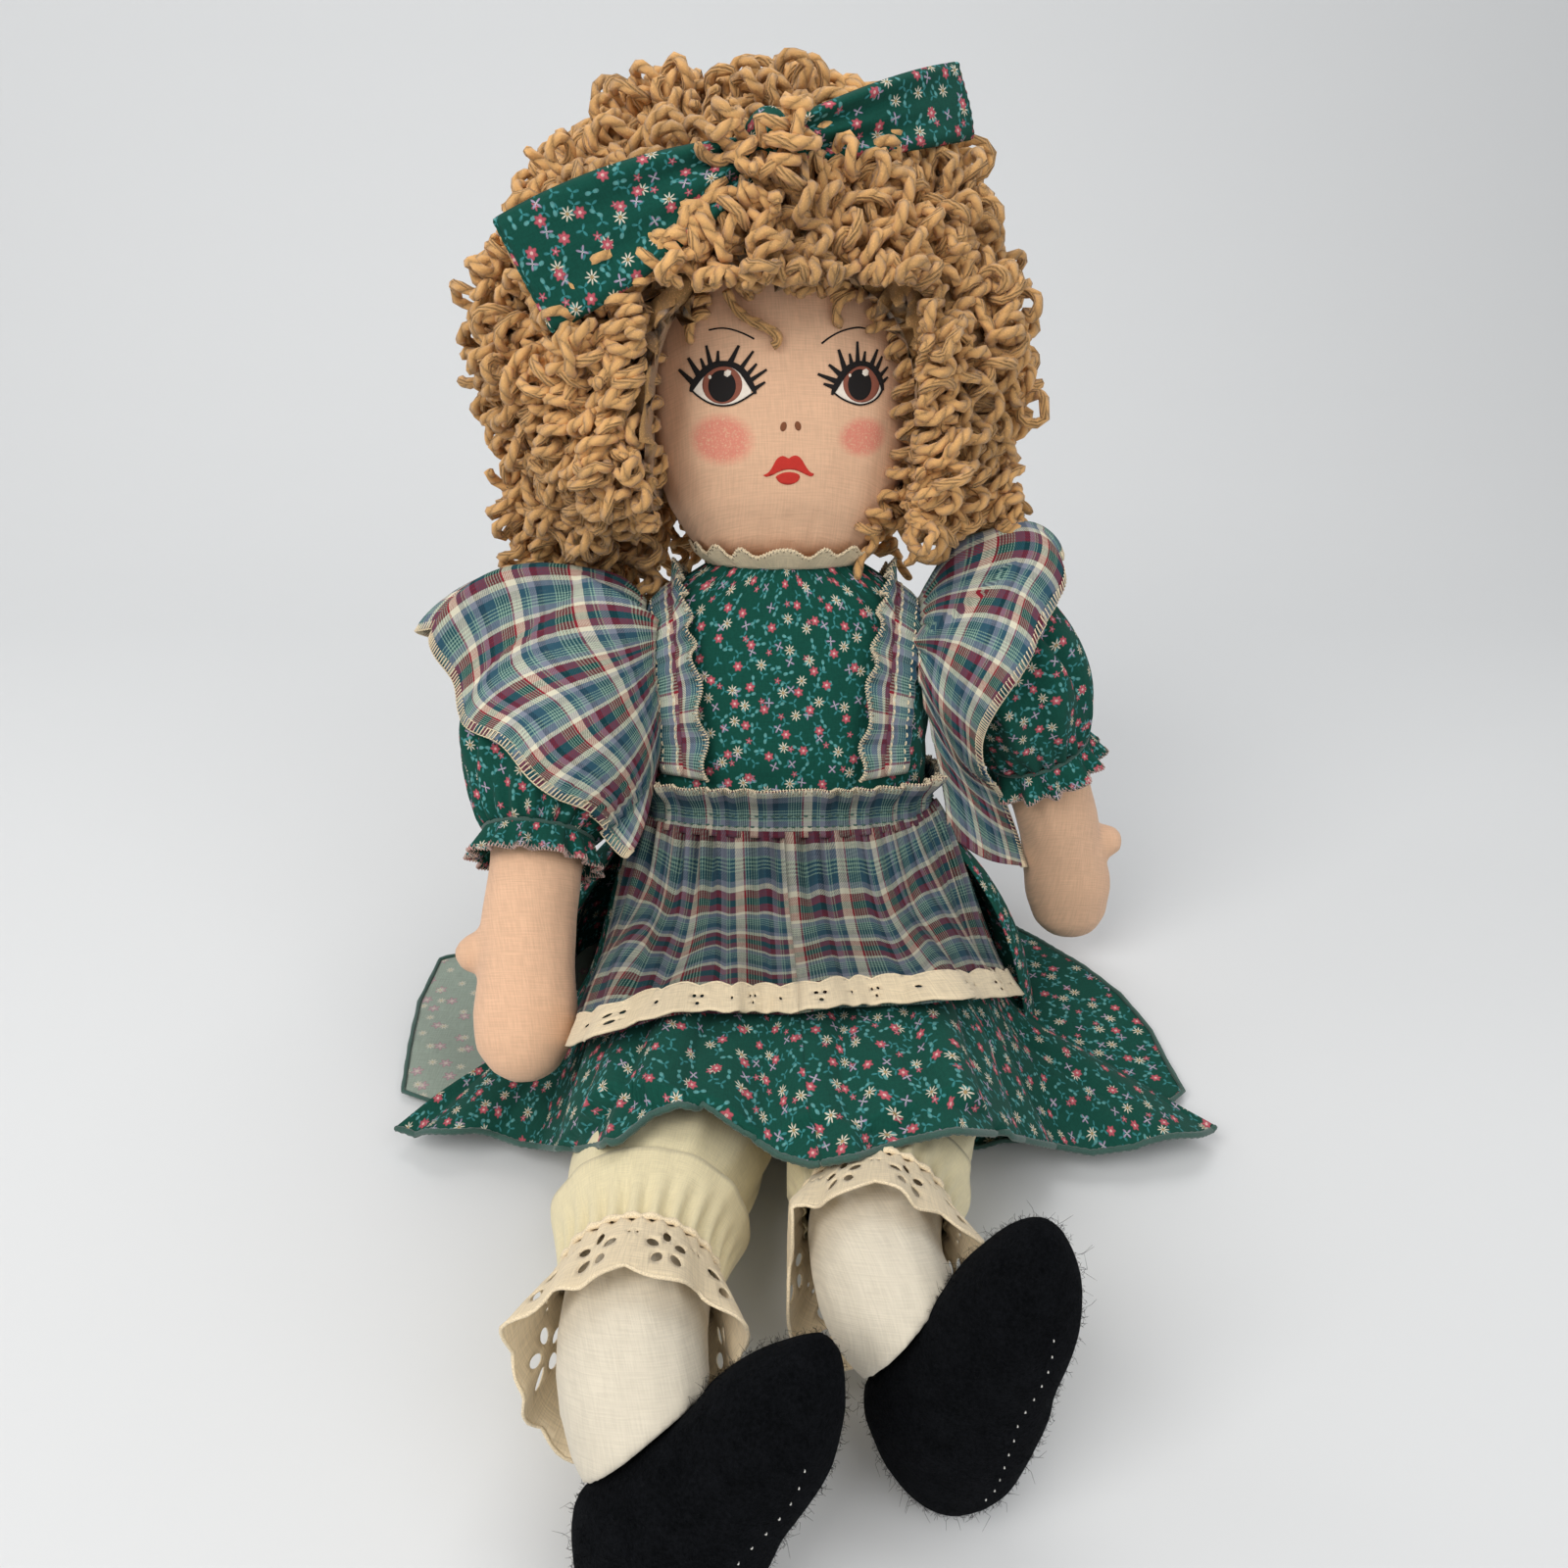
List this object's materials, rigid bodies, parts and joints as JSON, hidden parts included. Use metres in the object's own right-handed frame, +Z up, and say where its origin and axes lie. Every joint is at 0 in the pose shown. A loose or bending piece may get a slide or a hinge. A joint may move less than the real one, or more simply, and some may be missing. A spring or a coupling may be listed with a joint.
{
  "type": "seated rag doll",
  "caption": "Seated cloth rag doll with yarn curls and a hair bow, printed frock, madras pinafore with ruffled straps, lace-edged bloomers and felt shoes.",
  "frame": {"origin": "on the flat underside of the skirt cloth that the doll sits on, under the middle of the torso's front edge", "axes": "+Z up, the doll faces -Y, and its own left side is at +X"},
  "size_m": [0.3112, 0.3934, 0.359],
  "materials": {
    "skin": "matte woven cotton",
    "stocking": "matte woven cotton",
    "yarn": "bulky plied yarn",
    "floral": "matte printed cotton",
    "plaid": "matte madras cotton",
    "ivory": "matte eyelet cotton",
    "cream": "matte woven cotton",
    "felt": "fuzzy felt"
  },
  "bodies": {
    "torso": {"torso": "skin", "bodice_front": "floral", "bodice_back_left": "floral", "bodice_back_right": "floral", "neck_frill": "ivory", "bloomers_seat": "cream", "skirt_front": "floral", "skirt_back": "floral", "apron_skirt": "plaid", "apron_trim": "ivory", "apron_waistband": "plaid", "strap_left": "plaid", "inner_frill_left": "plaid", "wing_left": "plaid", "strap_right": "plaid", "inner_frill_right": "plaid", "wing_right": "plaid"},
    "head": {"head": "skin", "wig_crown": "yarn", "wig_curls_left": "yarn", "wig_curls_right": "yarn", "wig_curls_back": "yarn", "bow_knot": "floral", "bow_left": "floral", "bow_right": "floral"},
    "arm_left": {"arm_left": "skin", "sleeve_left": "floral", "cuff_frill_left": "floral"},
    "arm_right": {"arm_right": "skin", "sleeve_right": "floral", "cuff_frill_right": "floral"},
    "leg_left": {"leg_left": "stocking", "shoe_left": "felt", "bloomer_leg_left": "cream", "lace_cuff_left": "ivory"},
    "leg_right": {"leg_right": "stocking", "shoe_right": "felt", "bloomer_leg_right": "cream", "lace_cuff_right": "ivory"}
  },
  "joints": [
    {"name": "head_turn", "type": "hinge", "parent": "torso", "child": "head", "pos_m": [0, 0.04632, 0.18678], "axis": [0, 0.2079, 0.9781], "range_deg": [-30, 30], "deforming": ["wig_curls_left", "wig_curls_right", "wig_curls_back"]},
    {"name": "shoulder_left", "type": "hinge", "parent": "torso", "child": "arm_left", "pos_m": [0.0684, 0.03854, 0.1662], "axis": [-1, 0, 0], "range_deg": [-50, 70], "deforming": ["wing_left", "sleeve_left"]},
    {"name": "hip_left", "type": "hinge", "parent": "torso", "child": "leg_left", "pos_m": [0.034, -0.05076, 0.027], "axis": [-1, 0, 0], "range_deg": [-75, 50], "deforming": ["skirt_front", "skirt_back", "apron_skirt", "apron_trim", "bloomer_leg_left"]},
    {"name": "shoulder_right", "type": "hinge", "parent": "torso", "child": "arm_right", "pos_m": [-0.0684, 0.03854, 0.1582], "axis": [-1, 0, 0], "range_deg": [-50, 70], "deforming": ["wing_right", "sleeve_right"]},
    {"name": "hip_right", "type": "hinge", "parent": "torso", "child": "leg_right", "pos_m": [-0.034, -0.05076, 0.027], "axis": [-1, 0, 0], "range_deg": [-75, 50], "deforming": ["skirt_front", "skirt_back", "apron_skirt", "apron_trim", "bloomer_leg_right"]}
  ]
}
